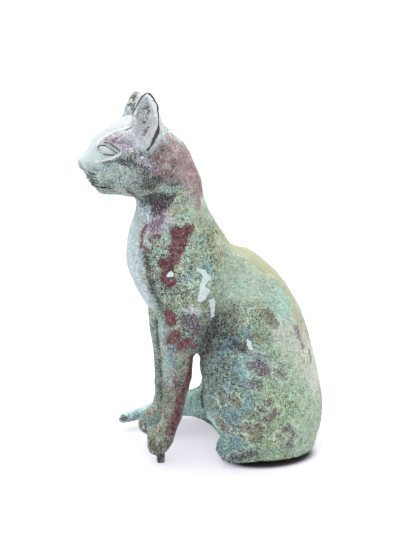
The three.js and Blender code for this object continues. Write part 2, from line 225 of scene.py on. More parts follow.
def along(axis_start, direction):
    """The skin point, in mm, that a straight throw meets."""
    hit = skin.ray_cast(Vector(axis_start) * MM, Vector(direction))[0]
    return None if hit is None else np.array(hit) / MM


def from_right(y, z):
    """The skin point seen straight from the cat's right side."""
    return along((-FAR, y, z), (1, 0, 0))


def from_back(x, z):
    """The skin point seen straight from behind."""
    return along((x, FAR, z), (0, -1, 0))


def from_front(x, z):
    """The skin point seen straight from the front."""
    return along((x, -FAR, z), (0, 1, 0))


def line_on_skin(places, throw=from_picture, step=DAB_STEP):
    """The line's places and the ones between them, all on the skin."""
    line = [places[0]]
    for (a, b), (c, d) in zip(places, places[1:]):
        parts = max(1, round(math.dist((a, b), (c, d)) / step))
        line += [(a + (c - a) * i / parts, b + (d - b) * i / parts) for i in range(1, parts + 1)]
    found = [throw(*place) for place in line]
    missed = [place for place, point in zip(line, found) if point is None]
    if missed:
        print("off the skin:", missed[:4])
    return np.array([point for point in found if point is not None]).reshape(-1, 3)


def mirrored(line):
    """The same line on the cat's other side."""
    return line * (-1, 1, 1) + (2 * MIDDLE_PLANE, 0, 0)


def distance_to(line, spots):
    """Each spot's distance from a line of points, all in mm."""
    nearest = np.full(len(spots), np.inf)
    ends = line[1:] if len(line) > 1 else line
    for a, b in zip(line, ends):
        span = b - a
        share = np.clip((spots - a) @ span / max(span @ span, 1e-9), 0, 1)
        gap = np.linalg.norm(spots - a - share[:, None] * span, axis=1)
        nearest = np.minimum(nearest, gap)
    return nearest


print("throws:", from_picture(150, 120), from_right(10, 40), from_back(3, 60))

# %% [markdown]
# ## Edges that wander
# Nothing on corroded bronze has a ruled edge. Each skin point therefore gets a second and a third
# place, a little off its own, and the dabs are measured from those. A slow drift suits the tones and
# a finer one suits the flakes. Blender's noise starts from a seed, which is set once, so every run
# gives the same cat.

# %% Noise on the skin's points
NOISE_SEED = 2
WARPED = ((9, 3, 2.2), (3, 7, 0.8))
RAGGED = ((3.2, 11, 1.1), (1.2, 13, 0.45))

noise.seed_set(NOISE_SEED)
spots = points / MM


def cloud(size, seed, octaves=1):
    """A smooth noise from about -1 to 1, with lumps of this size in mm."""
    shift = Vector((seed, seed * 0.37, -seed * 0.61))
    return np.array([
        noise.fractal(Vector(p) / size + shift, 1.0, 2.0, octaves) for p in spots
    ])


def drift(size, seed):
    """A direction at each point that changes over this size in mm."""
    shift = Vector((seed, -seed * 0.53, seed * 0.29))
    return np.array([noise.noise_vector(Vector(p) / size + shift) for p in spots])


def wandered(drifts):
    """The skin's points in mm, moved by drifts of a size, a seed and a reach."""
    return spots + sum(drift(size, seed) * reach for size, seed, reach in drifts)


warped = wandered(WARPED)
ragged = wandered(RAGGED)
print("points:", len(spots), "wander up to", round(float(np.abs(warped - spots).max()), 1), "mm")

# %% [markdown]
# ## Ground tones
# Under its patches the bronze has a slow change of tone: bone white on the brow, pale blue on the
# chest, sage and olive on the body, jade and sea green on the haunch. Three tones are painted light
# and shade: shade is painted shade in the fold behind the elbow and under the jaw, and foam and snow
# are paler than the bronze, a painted light on the tail, the far hind foot and the ear's hollow,
# which lie in shade. The tones are named as they look in the picture, and each is placed by a few
# spots. A point's tone is the mean of the spots round it, nearer ones counting for more. The right
# side mirrors the left.

# %% Name the tones
# Each has its red, green and blue as a screen shows them, and how rough its crust is.
TONES = {
    "bone": ((218, 227, 232), 0.15),
    "chalk": ((216, 219, 223), 0.12),
    "mist": ((210, 225, 222), 0.12),
    "ice": ((202, 216, 219), 0.35),
    "haze": ((166, 182, 184), 0.6),
    "lilac": ((196, 190, 203), 0.8),
    "dusk": ((120, 128, 142), 1.1),
    "slate": ((124, 140, 133), 0.8),
    "sage": ((166, 184, 164), 1.0),
    "moss": ((128, 144, 128), 1.2),
    "leaf": ((190, 208, 186), 0.35),
    "straw": ((190, 194, 162), 0.3),
    "sand": ((214, 218, 202), 0.45),
    "olive": ((132, 144, 117), 0.8),
    "bark": ((124, 122, 106), 0.6),
    "stone": ((172, 174, 160), 1.0),
    "sea": ((124, 152, 157), 0.9),
    "deep": ((100, 120, 121), 1.0),
    "jade": ((184, 206, 180), 0.5),
    "fern": ((160, 182, 148), 0.8),
    # foam is painted light: paler than the bronze, so the tail and far hind foot, in shade near the
    # floor, look lit.
    "foam": ((222, 254, 255), 0.4),
    "mint": ((176, 214, 202), 0.5),
    "rose": ((176, 152, 149), 0.4),
    "russet": ((118, 94, 97), 0.6),
    # shade is painted shade for the fold behind the elbow and the hollow under the jaw.
    "shade": ((56, 61, 54), 1.0),
    # snow is painted light: paler than the bronze, so the ear's hollow, in shade, looks lit.
    "snow": ((250, 255, 255), 0.42),
    "clay": ((112, 104, 96), 0.7),
    "ash": ((224, 230, 234), 0.7),
}
print("tones:", len(TONES))

# %% Place the tones in the picture
TONE_SPOTS = {
    "bone": [
        (150, 106), (154, 122), (140, 142), (138, 128), (150, 138), (120, 127), (126, 121), (131, 124),
    ],
    "chalk": [(121, 121), (113, 125), (105, 131), (99, 137), (94, 143), (109, 134), (117, 128)],
    "mist": [(87, 152), (84, 157), (91, 157), (94, 151), (104, 150), (110, 152), (80, 162)],
    "ice": [
        (146, 209), (134, 226), (129, 242), (128, 258), (131, 275), (141, 288),
        (148, 303), (137, 240), (138, 262),
    ],
    "haze": [
        (100, 168), (110, 172), (128, 178), (105, 178), (128, 186), (134, 180), (84, 170), (127, 106),
        (162, 330), (165, 350), (167, 372), (260, 360), (268, 364),
    ],
    "lilac": [(112, 138), (118, 141), (124, 145), (156, 222), (163, 214), (151, 232)],
    "dusk": [(131, 156), (142, 160), (148, 168), (140, 172)],
    "ash": [
        (167, 130), (173, 135), (163, 128), (133, 96), (130, 104), (136, 102), (127, 112), (131, 111),
        (136, 108),
    ],
    "slate": [
        (108, 186), (99, 183), (140, 173), (154, 345), (157, 370), (158, 395), (152, 330), (150, 312),
    ],
    "sage": [
        (250, 315), (175, 195), (182, 210), (168, 196), (158, 246), (180, 300), (196, 272), (186, 255),
        (188, 218), (222, 262), (200, 258),
    ],
    "moss": [
        (150, 262), (153, 272), (170, 292), (160, 285), (212, 270), (205, 252), (158, 250), (165, 245),
        (180, 290), (188, 262), (150, 186), (254, 322), (176, 323), (184, 333),
    ],
    "leaf": [
        (245, 270), (253, 290), (240, 292), (250, 275), (287, 350), (236, 262),
        (203, 206), (232, 280), (270, 296), (195, 260), (193, 215),
    ],
    "straw": [(221, 243), (256, 262), (270, 269), (286, 288), (298, 308), (307, 330), (200, 213)],
    "sand": [(300, 335), (302, 345), (312, 355), (313, 375), (276, 330)],
    "olive": [
        (205, 245), (210, 262), (205, 312), (186, 308), (174, 346), (180, 366), (268, 318),
        (250, 434), (262, 408), (236, 398), (166, 306), (214, 234), (262, 334), (260, 425), (261, 308),
    ],
    "bark": [(172, 398), (166, 414), (176, 408), (184, 370), (160, 436), (152, 444), (166, 434)],
    "clay": [(172, 345), (180, 350), (158, 449), (164, 444), (172, 386)],
    "stone": [(152, 430), (142, 425), (148, 432), (144, 430)],
    "sea": [
        (240, 350), (240, 385), (216, 402), (218, 410), (246, 394), (224, 448), (236, 448), (222, 452),
    ],
    "deep": [
        (220, 431), (218, 365), (226, 372), (222, 356), (214, 352), (228, 378), (212, 378), (215, 372),
        (222, 390), (226, 425),
    ],
    "jade": [(262, 386), (281, 400), (300, 415), (302, 430), (306, 396), (298, 388), (286, 385)],
    "fern": [(288, 415), (272, 355), (292, 405), (284, 395), (266, 388), (268, 446)],
    # Painted light on the tail and the far hind foot.
    "foam": [(130, 418), (134, 417), (139, 414), (195, 396), (192, 402)],
    "mint": [
        (251, 392), (246, 373), (199, 393), (194, 392), (240, 285), (278, 296), (272, 304), (282, 308),
        (192, 212),
    ],
    "rose": [(187, 152), (195, 172), (199, 190), (186, 168), (192, 178)],
    "russet": [(164, 158), (171, 166), (164, 150), (160, 162), (158, 170), (164, 168), (163, 174)],
    # Painted light inside the near ear.
    "snow": [
        (146, 112), (146, 124), (149, 136), (143, 108), (149, 108), (152, 116), (143, 126), (150, 100),
    ],
    # Painted shade in the fold behind the elbow and under the jaw.
    "shade": [
        (221, 328), (218, 330), (228, 339), (209, 343), (160, 200), (222, 340), (214, 322), (213, 345),
        (207, 350), (154, 204),
    ],
}
print("tone spots:", sum(len(places) for places in TONE_SPOTS.values()))

# %% Mix the tones on the skin
TONE_REACH = 2.5
LIGHT_ON_THE_SIDE = 1.24
WHITEST = 0.95


def linear(shown):
    """A colour as a screen shows it, turned into amounts of light."""
    share = np.array(shown) / 255
    return np.where(share <= 0.04045, share / 12.92, ((share + 0.055) / 1.055) ** 2.4)


def pigment(shown):
    """The surface colour that looks like this under the studio's light."""
    return np.clip(linear(shown) / LIGHT_ON_THE_SIDE, 0, WHITEST)


def ground_tone():
    """Each skin point's red, green and blue, and how rough its crust is."""
    total = np.zeros(len(spots))
    mixed = np.zeros((len(spots), 4))
    for name, places in TONE_SPOTS.items():
        shown, roughness = TONES[name]
        ground = np.array([*pigment(shown), roughness])
        for place in places:
            left = from_picture(*place)
            if left is None:
                print("tone off the skin:", name, place)
                continue
            for centre in (left, mirrored(left)):
                weight = 1 / (((warped - centre) ** 2).sum(axis=1) + TONE_REACH ** 2) ** 2
                total += weight
                mixed += weight[:, None] * ground
    mixed /= total[:, None]
    return mixed[:, :3], mixed[:, 3]


tone, roughness = ground_tone()
print("mean tone:", tone.mean(axis=0).round(3), "roughness:", round(float(roughness.mean()), 2))

# %% [markdown]
# ## Patches
# Where the green crust has flaked off, red-brown cuprite shows. Elsewhere there are blue and mauve
# blooms, white chips, brown islands, and dark patches that are partly black stains and partly
# painted shade in folds and under the jaw. Each kind is a list of named dabs, and a dab has a radius
# in mm and its places. The left side's places are in the camera's picture. The other sides have a
# few dabs of their own, in mm, thrown straight from the right, the back or the front.

# %% Red-brown cuprite
CUPRITE = {
    "shoulder_arm": (2.0, [(190, 229), (183, 232)]),
    "shoulder_top": (1.6, [(176, 231), (174, 235)]),
    "shoulder_body": (2.9, [(181, 238), (177, 247)]),
    "shoulder_low": (2.3, [(175, 254), (173, 260)]),
    "shoulder_lobe": (1.8, [(169, 263), (161, 263)]),
    "shoulder_foot": (2.3, [(168, 268), (167.5, 276), (169, 282)]),
    "shoulder_crumb": (0.9, [(158, 235)]),
    "chest_stripe": (0.8, [(146, 224), (141, 236), (140, 246)]),
    "chest_stripe_foot": (1.0, [(145, 249), (147, 252)]),
    "elbow_front": (2.2, [(168, 315), (171, 316), (169, 321), (172, 321)]),
    "forearm_top": (1.7, [(169, 340), (174, 336), (177, 335)]),
    "forearm_mid": (1.8, [(180, 346), (185, 342), (189, 340)]),
    "forearm_back": (1.2, [(192, 348), (197, 345)]),
    "leg_back": (1.7, [(192, 357), (189.5, 371), (185, 387), (180, 403), (177, 417), (172, 431)]),
    "leg_speck": (0.7, [(175, 385), (177, 383)]),
    "leg_speck_low": (0.6, [(166, 432), (168, 428)]),
}
CUPRITE_RIGHT = {
    "shoulder": (2.7, [(-18, 90), (-15, 84), (-12, 82)]),
    "shoulder_low": (2.1, [(-16, 78), (-17, 71), (-14, 66)]),
    "flank": (2.2, [(12, 62), (16, 60)]),
    "flank_tail": (1.4, [(19, 57), (22, 58)]),
    "haunch": (2.7, [(22, 36), (27, 31), (25, 25)]),
    "haunch_spot": (1.4, [(31, 38), (33, 36)]),
    "neck": (2.1, [(-22, 112), (-17, 106)]),
    "thigh": (1.9, [(4, 26), (8, 22), (6, 18)]),
}
CUPRITE_BACK = {
    "rump": (2.6, [(-4, 34), (2, 30), (6, 32)]),
    "rump_spot": (1.5, [(-9, 37), (-7, 40)]),
    "low": (1.9, [(12, 18), (15, 12)]),
}
CUPRITE_FRONT = {"chest": (1.4, [(-4, 82), (-5, 74)]), "shin": (0.9, [(-6, 40), (-6, 32)])}
FAR_OUTSIDE = -9.0


def both_sides(line, mirror):
    """The line, and the same line on the other side where it is mirrored."""
    return (line, mirrored(line)) if mirror else (line,)


def depth_in(pictured, right=(), back=(), front=(), mirror=False, at=ragged):
    """Each skin point's depth, in mm, in the nearest of these dabs."""
    deepest = np.full(len(at), FAR_OUTSIDE)
    for dabs, throw in (
        (pictured, from_picture), (right, from_right), (back, from_back), (front, from_front),
    ):
        for radius, places in dict(dabs).values():
            for course in both_sides(line_on_skin(places, throw), mirror):
                deepest = np.maximum(deepest, radius - distance_to(course, at))
    return deepest


cuprite = depth_in(CUPRITE, CUPRITE_RIGHT, CUPRITE_BACK, CUPRITE_FRONT)
print("cuprite covers", round(float((cuprite > 0).mean()) * 100, 1), "% of the points")

# %% The russet nape and the pale chest
RUSSET = {
    "crown": (3.4, [(172, 140), (178, 150)]),
    "nape": (4.6, [(170, 158), (182, 162), (190, 176)]),
    "nape_low": (3.2, [(190, 176), (194, 188)]),
    "front": (2.6, [(160, 158), (163, 166), (159, 173)]),
    "tongue": (1.9, [(197, 188), (197.5, 205)]),
    "edge": (3.0, [(188, 150), (196, 172), (200, 188)]),
}
MILK = {
    "chest": (4.2, [(133, 222), (130, 240), (130, 258), (133, 274)]),
    "chest_low": (3.0, [(138, 280), (144, 292)]),
    "throat": (2.2, [(143, 209), (138, 214)]),
    "nape": (1.0, [(203, 203), (205, 208)]),
}
russet = depth_in(RUSSET, mirror=True)
milk = depth_in(MILK, mirror=True)
print("russet covers", round(float((russet > 0).mean()) * 100, 1), "% of the points")

# %% White chips
CHIPS = {
    "shoulder_tip": (0.8, [(197, 268), (201, 271)]),
    "shoulder_top": (1.5, [(203, 273), (207, 278)]),
    "shoulder_mid": (1.5, [(205, 281), (204, 288)]),
    "shoulder_low": (2.0, [(205, 292), (202, 298)]),
    "upper_arm": (1.7, [(214, 301), (214.5, 308), (213.5, 315)]),
    "back": (0.5, [(303, 343)]),
    "back_high": (0.4, [(301, 336)]),
    "dot": (0.9, [(170, 275)]),
    "haunch": (1.6, [(249, 343), (251, 347)]),
    "haunch_crumb": (0.4, [(236, 348)]),
    "throat": (0.8, [(146, 215), (148, 218)]),
    "notch": (0.5, [(227, 249), (226, 258)]),
}
CHIPS_RIGHT = {"arm": (1.3, [(-9, 70), (-7, 62)]), "haunch": (1.2, [(18, 40), (20, 38)])}
CHIPS_BACK = {"back": (1.2, [(-8, 56), (-6, 52)])}
chips = depth_in(CHIPS, CHIPS_RIGHT, CHIPS_BACK)
print("chips cover", round(float((chips > 0).mean()) * 100, 1), "% of the points")

# %% The bright band along the spine, and pale lilac
BAND = {
    "spine": (3.6, [(236, 247), (252, 256), (270, 268), (285, 282), (293, 298)]),
    "spine_back": (2.2, [(296, 312), (301, 330)]),
}
BAND_BACK = {
    "ridge": (7.0, [(3, 88), (3, 80), (3, 70)]),
    "ridge_low": (5.0, [(3, 70), (3, 58)]),
}
LILAC = {
    "temple": (2.4, [(113, 138), (120, 141), (128, 147)]),
    "behind_jaw": (1.8, [(142, 161), (148, 168)]),
    "chest": (2.7, [(152, 230), (158, 222), (163, 217)]),
    "shoulder": (1.8, [(182, 280), (190, 276)]),
    "arm": (1.8, [(188, 309), (196, 313)]),
}
band = depth_in(BAND, back=BAND_BACK, mirror=True, at=warped)
lilac = depth_in(LILAC, mirror=True)
print("band covers", round(float((band > 0).mean()) * 100, 1), "% of the points")

# %% Mauve, dark stains and painted shade
MAUVE = {
    "temple": (0.6, [(108, 139), (116, 141), (123, 145)]),
    "ear": (0.4, [(147, 103), (145, 115), (147, 126), (144, 136)]),
    "nape_front": (0.9, [(156, 168), (153, 177), (162, 177)]),
    "chest": (1.6, [(153, 228), (160, 220)]),
    "chest_low": (1.2, [(150, 240), (158, 236)]),
    "throat": (2.6, [(156, 208), (163, 206), (169, 200)]),
    "elbow": (3.0, [(188, 321), (195, 327)]),
    "haunch_dark": (1.5, [(235, 346), (240, 345), (245, 349)]),
    "haunch_chip": (1.2, [(245, 344), (253, 338)]),
    "haunch_bloom": (2.6, [(253, 366), (260, 367), (265, 371)]),
    "haunch_below": (1.8, [(252, 382), (258, 386)]),
    "haunch_ring": (1.5, [(267, 402), (271, 402)]),
    "haunch_streak": (1.4, [(266, 419), (273, 416), (278, 411)]),
    "low_ring": (1.5, [(285, 429), (290, 428)]),
    "low_streak": (1.4, [(293, 434), (290, 446)]),
    "back_specks": (1.2, [(296, 328), (300, 340), (303, 347)]),
    "foot_edge": (0.9, [(233, 457), (245, 454), (256, 452)]),
    "leg": (1.2, [(175, 380), (179, 386)]),
}
MAUVE_RIGHT = {
    "haunch": (2.2, [(12, 44), (18, 48), (22, 46)]),
    "low": (1.4, [(26, 16), (30, 12)]),
    "chest": (2.0, [(-26, 78), (-22, 70)]),
}
MAUVE_BACK = {"mid": (1.8, [(-8, 42), (-3, 46)]), "low": (1.4, [(4, 14), (9, 10)])}
# Dark dabs. Some are black stains; those under the crest, the jaw and the throat, in the elbow's fold,
# along the far leg and behind the hind foot are painted shade.
STAIN_AND_SHADE = {
    "cheek": (1.5, [(118, 159), (126, 162)]),
    "muzzle": (0.9, [(86, 174), (90, 176), (93, 181)]),
    "under_crest": (0.5, [(104, 164), (114, 161), (123, 157)]),
    "behind_eye": (0.7, [(122, 160), (130, 160), (138, 165)]),
    "behind_jaw": (0.6, [(141, 164), (147, 171), (150, 176)]),
    "jaw": (1.4, [(146, 180), (152, 180), (158, 180)]),
    "far_ear": (1.0, [(134, 95), (131, 101), (134, 106)]),
    "ear": (-0.5, [(147, 108), (145, 118), (149, 130)]),
    "nose": (0.4, [(79, 163), (81, 166)]),
    "jaw_low": (1.4, [(128, 190), (136, 196), (143, 202)]),
    "jaw_back": (1.6, [(142, 186), (152, 186)]),
    "throat": (3.0, [(149, 198), (156, 200)]),
    "throat_back": (2.0, [(162, 197), (169, 199), (165, 205)]),
    "throat_low": (1.5, [(153, 212), (160, 209)]),
    "neck": (1.2, [(172, 186), (178, 183)]),
    "torso": (1.5, [(150, 278), (153, 291), (158, 301), (163, 310)]),
    "elbow": (1.6, [(206, 336), (209, 350)]),
    "haunch": (1.2, [(236, 345), (242, 349)]),
    "tail_tip": (1.2, [(122, 419), (126, 417)]),
    "tang": (1.4, [(160, 455), (160, 460)]),
    "foot": (0.9, [(230, 460), (245, 457), (256, 453)]),
    "torso_front": (1.4, [(146, 258), (148, 270)]),
    "fold": (1.2, [(214, 318), (213, 332)]),
    "chest_edge": (0.8, [(143, 250), (146, 262)]),
    "far_leg": (0.8, [(157, 318), (158, 340), (161, 372), (161, 396)]),
    "front_rim": (0.1, [(222, 424), (222, 430), (224, 437)]),
    "behind_root": (0.5, [(203, 384), (201, 396), (203, 408)]),
}
# On the right, the elbow and throat dabs are painted shade.
STAIN_AND_SHADE_RIGHT = {"elbow": (1.4, [(-6, 52), (-2, 46)]), "throat": (1.8, [(-26, 98), (-20, 96)])}
mauve = depth_in(MAUVE, MAUVE_RIGHT, MAUVE_BACK)
stain_and_shade = depth_in(STAIN_AND_SHADE, STAIN_AND_SHADE_RIGHT)
print("stains cover", round(float((stain_and_shade > 0).mean()) * 100, 1), "% of the points")

# %% Blue bloom and brown islands
BLUE = {
    "haunch_top": (1.3, [(244, 330), (248, 338)]),
    "haunch_left": (1.6, [(236, 341), (226, 347), (220, 355)]),
    "haunch_mid": (1.6, [(236, 366), (238, 374), (245, 380)]),
    "haunch_down": (1.0, [(246, 390), (249, 400), (243, 409)]),
    "front_low": (1.6, [(229, 412), (238, 418)]),
    "root": (1.1, [(236, 440), (247, 446)]),
    "root_side": (0.9, [(222, 446), (224, 436)]),
    "forearm": (1.3, [(170, 356), (173, 364)]),
    "forearm_top": (0.9, [(175, 350), (172, 345)]),
    "throat": (1.2, [(142, 205), (147, 210)]),
    "shoulder": (1.3, [(186, 279), (190, 275)]),
    "shoulder_back": (1.2, [(204, 267), (209, 270)]),
    "tail": (1.6, [(132, 418), (142, 414)]),
    "far_paw": (1.0, [(150, 424), (154, 420)]),
}
BLUE_RIGHT = {
    "haunch": (2.2, [(6, 40), (10, 32), (8, 24)]),
    "low": (1.8, [(16, 12), (24, 10)]),
    "neck": (1.4, [(-24, 104), (-20, 100)]),
}
BLUE_BACK = {"low": (1.8, [(-6, 12), (2, 8)]), "mid": (1.4, [(8, 50), (10, 44)])}
ISLANDS = {
    "triangle": (2.6, [(246, 428), (258, 430), (256, 440)]),
    "mid": (2.2, [(233, 398), (238, 404)]),
    "front": (1.4, [(220, 396), (222, 402)]),
    "front_low": (2.2, [(219, 421), (225, 430)]),
    "behind": (1.3, [(260, 409), (264, 411)]),
    "flank": (2.6, [(266, 314), (274, 322)]),
    "thigh": (1.8, [(276, 372), (284, 376)]),
    "rear": (1.4, [(278, 437), (283, 440)]),
    "edge": (1.2, [(309, 350), (311, 360)]),
    "arm": (1.3, [(187, 290), (183, 296)]),
}
ISLANDS_RIGHT = {"haunch": (2.4, [(14, 20), (20, 24)]), "flank": (2.2, [(20, 60), (24, 54)])}
ISLANDS_BACK = {"low": (2.2, [(10, 24), (12, 30)]), "high": (2.0, [(-4, 64), (0, 60)])}
blue = depth_in(BLUE, BLUE_RIGHT, BLUE_BACK)
islands = depth_in(ISLANDS, ISLANDS_RIGHT, ISLANDS_BACK)
print("blue covers", round(float((blue > 0).mean()) * 100, 1), "% of the points")

# %% [markdown]
# ## The carved lines
# The founder cut the eyes, brows, whiskers and mouth into the wax, and left crests between the planes
# of the cheek. A groove is a narrow dent along a line and a crest is a narrow rise. They are made by
# moving the skin along its normals, and both sides of the face get them. A line has a width and a
# height in mm, then its places. Softer dabs of form bring single places nearer to the photograph.

# %% Grooves of the face, the legs and the haunch
GROOVES = {
    "brow": (0.42, 0.42, [(104, 142.5), (109, 143.5), (114, 146.5), (119.5, 151)]),
    "lid": (0.32, 0.3, [
        (98.5, 147), (101, 145.4), (105, 145.8), (110, 148.4), (115, 151.8), (117.5, 154),
    ]),
    "under_lid": (0.34, 0.28, [(98.5, 149.5), (102, 153.6), (108, 155.2), (114, 155.2)]),
    "whisker_top": (0.28, 0.22, [(92, 177), (97, 177.8)]),
    "whisker_mid": (0.28, 0.22, [(93, 180), (98, 180.6)]),
    "whisker_low": (0.28, 0.22, [(94, 183), (98, 183.4)]),
    "mouth": (0.36, 0.35, [(88, 179), (93, 184), (98, 186.8), (106, 187.4)]),
    "nostril": (0.5, 0.35, [(83, 169), (86, 171)]),
    "pad": (0.6, 0.2, [(88, 172), (91, 174), (94, 174)]),
}
LEFT_GROOVES = {
    "toe_front": (0.5, 0.45, [(149, 436), (150, 445), (155, 454)]),
    "toe_mid": (0.4, 0.4, [(154, 438), (154, 446), (158, 454)]),
    "toe_back": (0.4, 0.25, [(162, 440), (161, 450)]),
    "haunch_fold": (0.7, 0.35, [(207, 395), (212, 406), (219, 416)]),
    "stump_top": (0.5, 0.4, [(218, 452), (226, 451), (234, 448)]),
    "ear_nick": (0.35, 0.3, [(146.5, 97), (147, 101)]),
}
RIGHT_GROOVES = {
    "toe_front": (0.4, 0.35, [(140.5, 421), (140.5, 431)]),
    "toe_mid": (0.4, 0.35, [(146, 420), (145.5, 432)]),
    "ankle": (1.0, 0.5, [(203, 386), (201, 396), (203, 408)]),
    "hind_toe": (0.5, 0.3, [(192, 397), (190, 411)]),
    "hind_toe_back": (0.5, 0.3, [(198, 393), (196, 414)]),
}
print("grooves:", len(GROOVES) + len(LEFT_GROOVES) + len(RIGHT_GROOVES))

# %% Rims, crests and soft forms
EAR_RIMS = {
    "rear": (1.1, 0.3, [
        (149, 94), (153.8, 99), (157.4, 105.6), (159.2, 113), (159.6, 120), (158.6, 128),
        (156, 136), (152.4, 143.5), (148, 149.5),
    ]),
    "front": (0.5, 0.25, [
        (147, 93.6), (143.5, 95.5), (139, 101), (136, 107), (133.5, 112), (132.3, 118), (132, 125),
    ]),
}
EAR_HOLLOW = {"ear": (3.2, -0.7, [(147, 108), (147, 120), (147, 134)])}
FORMS = {
    "crown": (5, 0.8, [(172, 133), (181, 143), (189, 154)]),
    "nape": (4, 0.5, [(201, 186), (205, 200), (211, 212)]),
    "back_notch": (4, -1.3, [(235, 244), (243, 249)]),
    "back_high": (4, -0.3, [(249, 253), (258, 259)]),
    "root_front": (3.0, -1.3, [(217, 438), (217, 446)]),
    "ear_rear": (2, -0.9, [(160.5, 112), (160.8, 122)]),
    "ear_front_base": (2.4, 0.9, [(124.5, 117)]),
    "leg_rear": (4, 0.6, [(190, 372), (187, 388)]),
    "shoulder_rear": (2.2, -0.7, [(225, 254), (221, 268), (219, 282), (217, 297), (216, 312)]),
}
# Each crest is a real rise; its paint, further on, is a painted highlight.
CRESTS = {
    "brow": (0.8, 0.5, [(129, 128.5), (120, 130.5), (110, 134.5), (102.5, 139), (97.5, 145)]),
    "cheek": (0.75, 0.5, [(121, 153.5), (115, 157.6), (105, 160), (96, 162)]),
}
EYEBALL = {"eye": (1.5, 0.3, [(103.5, 149.8), (108.5, 151.6)])}
ONE_SIDE_CRESTS = {
    "chest_edge": (0.6, 0.25, [(149, 303), (154, 309), (159, 315), (162, 323), (163.5, 340)]),
    "haunch_high": (0.45, 0.35, [(203.5, 374), (206.5, 388), (211, 401), (217, 412)]),
    "haunch_low": (0.7, 0.3, [(228, 423), (235, 433), (247, 443)]),
}
PAINTED_SHARE = 0.55


def line_marks(marks, mirror=True):
    """How far the lines move the skin, and each point's depth in the nearest, in mm."""
    moved = np.zeros(len(spots))
    deepest = np.full(len(spots), FAR_OUTSIDE)
    for width, height, places in marks.values():
        for course in both_sides(line_on_skin(places, step=LINE_STEP), mirror):
            gap = distance_to(course, spots)
            moved = np.maximum(moved, height * np.exp(-((gap / width) ** 2)))
            deepest = np.maximum(deepest, width * PAINTED_SHARE - gap)
    return moved, deepest


def pushed(dabs):
    """How far these soft dabs move the skin on both sides, in mm."""
    moved = np.zeros(len(spots))
    for radius, height, places in dabs.values():
        for course in both_sides(line_on_skin(places), mirror=True):
            push = height * np.exp(-((distance_to(course, spots) / radius) ** 2))
            moved = np.where(np.abs(push) > np.abs(moved), push, moved)
    return moved


print("crests:", len(CRESTS) + len(ONE_SIDE_CRESTS), "soft forms:", len(FORMS))

# %% Measure the lines on the skin
# The grooves' painted bands become painted shade in the material.
face_grooves, groove_shade = line_marks(GROOVES)
left_grooves, left_crease_shade = line_marks(LEFT_GROOVES, mirror=False)
right_grooves, right_crease_shade = line_marks(RIGHT_GROOVES, mirror=False)
groove_depth = np.maximum.reduce([face_grooves, left_grooves, right_grooves])
rim_height, rims = line_marks(EAR_RIMS)
crest_height, crest_highlight = line_marks(CRESTS)
haunch_height, haunch_crest_highlight = line_marks(ONE_SIDE_CRESTS, mirror=False)
crease = np.maximum(left_crease_shade, right_crease_shade)
formed = pushed(FORMS) + pushed(EAR_HOLLOW) + pushed(EYEBALL)
print("deepest groove:", round(float(groove_depth.max()), 2), "mm")

# %% [markdown]
# ## The crust's relief
# Corrosion isn't flat: the green crust swells in low lumps and the bare places lie lower. The steps
# between them catch the light, so they are real geometry, and only the grain under half a millimetre
# is left to the material. Nothing moves at the flat underside and the tangs.

# %% Work out the relief
FLAKE_STEP = 0.22
CHIP_STEP = 0.3
BAND_STEP = 0.25
LUMPS = ((7, 21, 0.16), (2.2, 23, 0.26))
SMOOTH_SHARE_OF_FACE = 0.75
BROKEN_ROOT = {"stump": (3.4, [(210, 436), (218, 444), (224, 452), (214, 450)])}
FIBRE_SIZE, FIBRE_SEED = 1.5, 31
FIBRE_HEIGHT, FIBRE_DEPTH = 1.4, 0.5
FACE_FORWARD = (26, 32)
FACE_UP = (110, 116)
TURNED_DOWN = (0.35, 0.7)
NEAR_THE_GROUND = (4, 5.5)

x, y, z = spots.T
face = rise(-y, *FACE_FORWARD) * rise(z, *FACE_UP)
# Faces turned down near the ground, later given painted shade.
underside_shade = rise(-normals[:, 2], *TURNED_DOWN) * (1 - rise(z, *NEAR_THE_GROUND))
off_the_flat = rise(z, UNDERSIDE + 0.5, ALL_SMOOTH_ABOVE)
crusty = 1 - SMOOTH_SHARE_OF_FACE * face
swell = sum(cloud(size, seed, octaves=2) * height for size, seed, height in LUMPS)
broken = rise(depth_in(BROKEN_ROOT), -0.8, 0.8)
fibres = np.abs(cloud(FIBRE_SIZE, FIBRE_SEED, octaves=2)) * FIBRE_HEIGHT - FIBRE_DEPTH
print("swell:", round(float(swell.std()), 2), "mm, broken:", int((broken > 0.5).sum()), "points")

# %% Move the skin
relief = off_the_flat * (
    crusty * swell
    - FLAKE_STEP * crusty * rise(cuprite, -0.25, 0.25)
    - CHIP_STEP * crusty * rise(chips, -0.2, 0.2)
    - BAND_STEP * rise(band, -0.3, 0.3)
    + broken * fibres
    + crest_height
    + haunch_height
    + rim_height
    + formed
    - groove_depth
)
move(cat, points + normals * relief[:, None] * MM)
print("relief from", round(float(relief.min()), 2), "to", round(float(relief.max()), 2), "mm")

# %% [markdown]
# ## Handing the places to the material
# The material can't throw rays, so each patch's depth is kept on the skin's points as an attribute.
# It is in mm and runs smoothly through 0 at the patch's edge, so the material can cut a crisp edge
# at any distance and fray it with finer noise.

